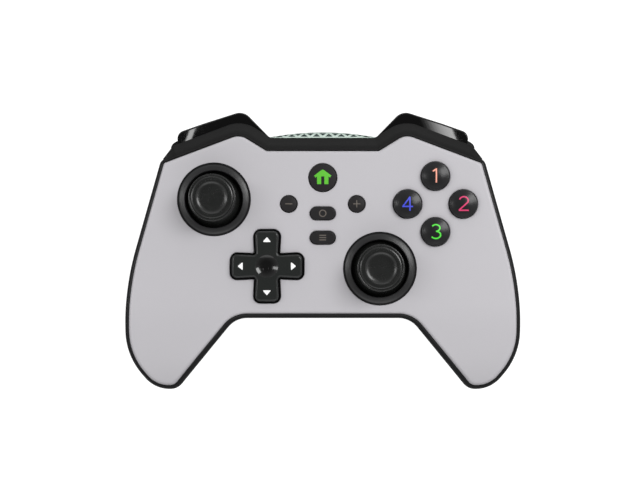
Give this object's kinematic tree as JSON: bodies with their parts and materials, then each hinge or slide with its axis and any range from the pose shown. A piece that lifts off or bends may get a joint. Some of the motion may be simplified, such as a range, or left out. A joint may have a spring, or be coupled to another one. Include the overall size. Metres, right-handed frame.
{
  "type": "gamepad controller",
  "caption": "Two-grip gamepad with offset thumbsticks, a direction cross, action buttons, shoulder bumpers and triggers, and a light panel.",
  "frame": {"origin": "middle of the footprint, on the table", "axes": "+Z out of the face, +Y towards the shoulder side, +X to the player's right"},
  "size_m": [0.1558, 0.1104, 0.0516],
  "materials": {
    "face_plastic": "fine satin grain",
    "body_plastic": "fine matte grain",
    "strip_plastic": "smooth matte",
    "gloss_plastic": "high gloss",
    "trigger_plastic": "satin",
    "ring_plastic": "satin",
    "stick_rubber": "soft matte",
    "cross_plastic": "satin gloss",
    "button_plastic": "clear gloss",
    "oblong_plastic": "satin",
    "panel_plastic": "translucent",
    "diffuser_plastic": "milky",
    "membrane_rubber": "soft",
    "board": "solder mask",
    "battery_foil": "foil wrap",
    "steel": "turned",
    "spring_steel": "drawn wire",
    "brass": "turned",
    "switch_plastic": "moulded"
  },
  "bodies": {
    "root": {"front_cover": "face_plastic", "rear_cover": "body_plastic", "shoulder_bridge": "strip_plastic", "light_panel": "panel_plastic", "light_diffuser": "diffuser_plastic", "light_board": "board", "case_screws": "steel", "board_screws": "steel", "left_trigger_pin": "steel", "right_trigger_pin": "steel", "left_trigger_spring": "spring_steel", "right_trigger_spring": "spring_steel", "left_bumper_switch": "switch_plastic", "right_bumper_switch": "switch_plastic", "left_stick_ring": "ring_plastic", "right_stick_ring": "ring_plastic", "left_stick_housing": "steel", "right_stick_housing": "steel", "cross_post": "body_plastic", "action_membrane": "membrane_rubber", "cross_membrane": "membrane_rubber", "centre_membrane": "membrane_rubber", "main_board": "board", "battery": "battery_foil", "usb_c_port": "steel", "left_rumble_motor": "steel", "right_rumble_motor": "steel"},
    "left_bumper": {"left_bumper": "gloss_plastic"},
    "left_trigger": {"left_trigger": "trigger_plastic"},
    "left_gimbal": {"left_stick_gimbal": "switch_plastic"},
    "left_sleeve": {"left_stick_sleeve": "brass"},
    "left_stick": {"left_thumbstick": "stick_rubber", "left_stick_lever": "steel"},
    "left_arch": {"left_stick_arch": "switch_plastic"},
    "left_weight": {"left_motor_weight": "steel"},
    "right_bumper": {"right_bumper": "gloss_plastic"},
    "right_trigger": {"right_trigger": "trigger_plastic"},
    "right_gimbal": {"right_stick_gimbal": "switch_plastic"},
    "right_sleeve": {"right_stick_sleeve": "brass"},
    "right_stick": {"right_thumbstick": "stick_rubber", "right_stick_lever": "steel"},
    "right_arch": {"right_stick_arch": "switch_plastic"},
    "right_weight": {"right_motor_weight": "steel"},
    "cross_rocker": {"cross_rocker": "brass"},
    "cross": {"direction_cross": "cross_plastic"},
    "action_button_top": {"action_button_top": "button_plastic"},
    "action_button_left": {"action_button_left": "button_plastic"},
    "action_button_right": {"action_button_right": "button_plastic"},
    "action_button_bottom": {"action_button_bottom": "button_plastic"},
    "home_button": {"home_button": "button_plastic"},
    "minus_button": {"minus_button": "button_plastic"},
    "plus_button": {"plus_button": "button_plastic"},
    "upper_oblong_button": {"upper_oblong_button": "oblong_plastic"},
    "lower_oblong_button": {"lower_oblong_button": "oblong_plastic"}
  },
  "joints": [
    {"name": "left_bumper_press", "type": "hinge", "parent": "root", "child": "left_bumper", "pos_m": [-0.0247, 0.04546, 0.029], "axis": [0, 0, 1], "range_deg": [0, 2], "stiffness_Nm_per_rad": 0.5, "springref_deg": -2.86},
    {"name": "left_trigger_pull", "type": "hinge", "parent": "root", "child": "left_trigger", "pos_m": [-0.04515, 0.03723, 0.0172], "axis": [-0.9361, -0.3518, 0], "range_deg": [0, 14], "stiffness_Nm_per_rad": 0.1, "springref_deg": -11.46, "deforming": ["left_trigger_spring"]},
    {"name": "left_stick_lean_y", "type": "hinge", "parent": "root", "child": "left_gimbal", "pos_m": [-0.0426, 0.0199, 0.031], "axis": [1, 0, 0], "range_deg": [-17, 17], "stiffness_Nm_per_rad": 0.03},
    {"name": "left_stick_lean_x", "type": "hinge", "parent": "left_gimbal", "child": "left_sleeve", "pos_m": [-0.0426, 0.0199, 0.031], "axis": [0, 1, 0], "range_deg": [-17, 17], "stiffness_Nm_per_rad": 0.03},
    {"name": "left_stick_click", "type": "slide", "parent": "left_sleeve", "child": "left_stick", "axis": [0, 0, -1], "range_m": [0, 0.0004], "stiffness_N_per_m": 2000, "springref_m": -0.0006},
    {"name": "left_stick_follow", "type": "hinge", "parent": "root", "child": "left_arch", "pos_m": [-0.0426, 0.0199, 0.031], "axis": [0, 1, 0], "range_deg": [-17, 17]},
    {"name": "left_rumble_spin", "type": "hinge", "parent": "root", "child": "left_weight", "pos_m": [-0.0615, -0.033, 0.015], "axis": [0.3355, 0.9421, 0], "continuous": true},
    {"name": "right_bumper_press", "type": "hinge", "parent": "root", "child": "right_bumper", "pos_m": [0.0247, 0.04546, 0.029], "axis": [0, 0, -1], "range_deg": [0, 2], "stiffness_Nm_per_rad": 0.5, "springref_deg": -2.86},
    {"name": "right_trigger_pull", "type": "hinge", "parent": "root", "child": "right_trigger", "pos_m": [0.04515, 0.03723, 0.0172], "axis": [-0.9361, 0.3518, 0], "range_deg": [0, 14], "stiffness_Nm_per_rad": 0.1, "springref_deg": -11.46, "deforming": ["right_trigger_spring"]},
    {"name": "right_stick_lean_y", "type": "hinge", "parent": "root", "child": "right_gimbal", "pos_m": [0.0224, -0.0072, 0.031], "axis": [1, 0, 0], "range_deg": [-17, 17], "stiffness_Nm_per_rad": 0.03},
    {"name": "right_stick_lean_x", "type": "hinge", "parent": "right_gimbal", "child": "right_sleeve", "pos_m": [0.0224, -0.0072, 0.031], "axis": [0, 1, 0], "range_deg": [-17, 17], "stiffness_Nm_per_rad": 0.03},
    {"name": "right_stick_click", "type": "slide", "parent": "right_sleeve", "child": "right_stick", "axis": [0, 0, -1], "range_m": [0, 0.0004], "stiffness_N_per_m": 2000, "springref_m": -0.0006},
    {"name": "right_stick_follow", "type": "hinge", "parent": "root", "child": "right_arch", "pos_m": [0.0224, -0.0072, 0.031], "axis": [0, 1, 0], "range_deg": [-17, 17]},
    {"name": "right_rumble_spin", "type": "hinge", "parent": "root", "child": "right_weight", "pos_m": [0.0615, -0.033, 0.015], "axis": [-0.3355, 0.9421, 0], "continuous": true},
    {"name": "cross_rock_y", "type": "hinge", "parent": "root", "child": "cross_rocker", "pos_m": [-0.0218, -0.0063, 0.0326], "axis": [1, 0, 0], "range_deg": [-4, 4], "stiffness_Nm_per_rad": 0.2, "deforming": ["cross_membrane"]},
    {"name": "cross_rock_x", "type": "hinge", "parent": "cross_rocker", "child": "cross", "pos_m": [-0.0218, -0.0063, 0.0326], "axis": [0, 1, 0], "range_deg": [-4, 4], "stiffness_Nm_per_rad": 0.2, "deforming": ["cross_membrane"]},
    {"name": "action_button_top_press", "type": "slide", "parent": "root", "child": "action_button_top", "axis": [0, 0, -1], "range_m": [0, 0.0014], "stiffness_N_per_m": 300, "springref_m": -0.002, "deforming": ["action_membrane"]},
    {"name": "action_button_left_press", "type": "slide", "parent": "root", "child": "action_button_left", "axis": [0, 0, -1], "range_m": [0, 0.0014], "stiffness_N_per_m": 300, "springref_m": -0.002, "deforming": ["action_membrane"]},
    {"name": "action_button_right_press", "type": "slide", "parent": "root", "child": "action_button_right", "axis": [0, 0, -1], "range_m": [0, 0.0014], "stiffness_N_per_m": 300, "springref_m": -0.002, "deforming": ["action_membrane"]},
    {"name": "action_button_bottom_press", "type": "slide", "parent": "root", "child": "action_button_bottom", "axis": [0, 0, -1], "range_m": [0, 0.0014], "stiffness_N_per_m": 300, "springref_m": -0.002, "deforming": ["action_membrane"]},
    {"name": "home_button_press", "type": "slide", "parent": "root", "child": "home_button", "axis": [0, 0, -1], "range_m": [0, 0.0007], "stiffness_N_per_m": 300, "springref_m": -0.002, "deforming": ["centre_membrane"]},
    {"name": "minus_button_press", "type": "slide", "parent": "root", "child": "minus_button", "axis": [0, 0, -1], "range_m": [0, 0.0007], "stiffness_N_per_m": 300, "springref_m": -0.002, "deforming": ["centre_membrane"]},
    {"name": "plus_button_press", "type": "slide", "parent": "root", "child": "plus_button", "axis": [0, 0, -1], "range_m": [0, 0.0007], "stiffness_N_per_m": 300, "springref_m": -0.002, "deforming": ["centre_membrane"]},
    {"name": "upper_oblong_button_press", "type": "slide", "parent": "root", "child": "upper_oblong_button", "axis": [0, 0, -1], "range_m": [0, 0.0007], "stiffness_N_per_m": 300, "springref_m": -0.002, "deforming": ["centre_membrane"]},
    {"name": "lower_oblong_button_press", "type": "slide", "parent": "root", "child": "lower_oblong_button", "axis": [0, 0, -1], "range_m": [0, 0.0007], "stiffness_N_per_m": 300, "springref_m": -0.002, "deforming": ["centre_membrane"]}
  ],
  "couplings": [
    {"joint": "left_stick_follow", "follows": "left_stick_lean_x", "ratio": 1},
    {"joint": "right_stick_follow", "follows": "right_stick_lean_x", "ratio": 1}
  ]
}
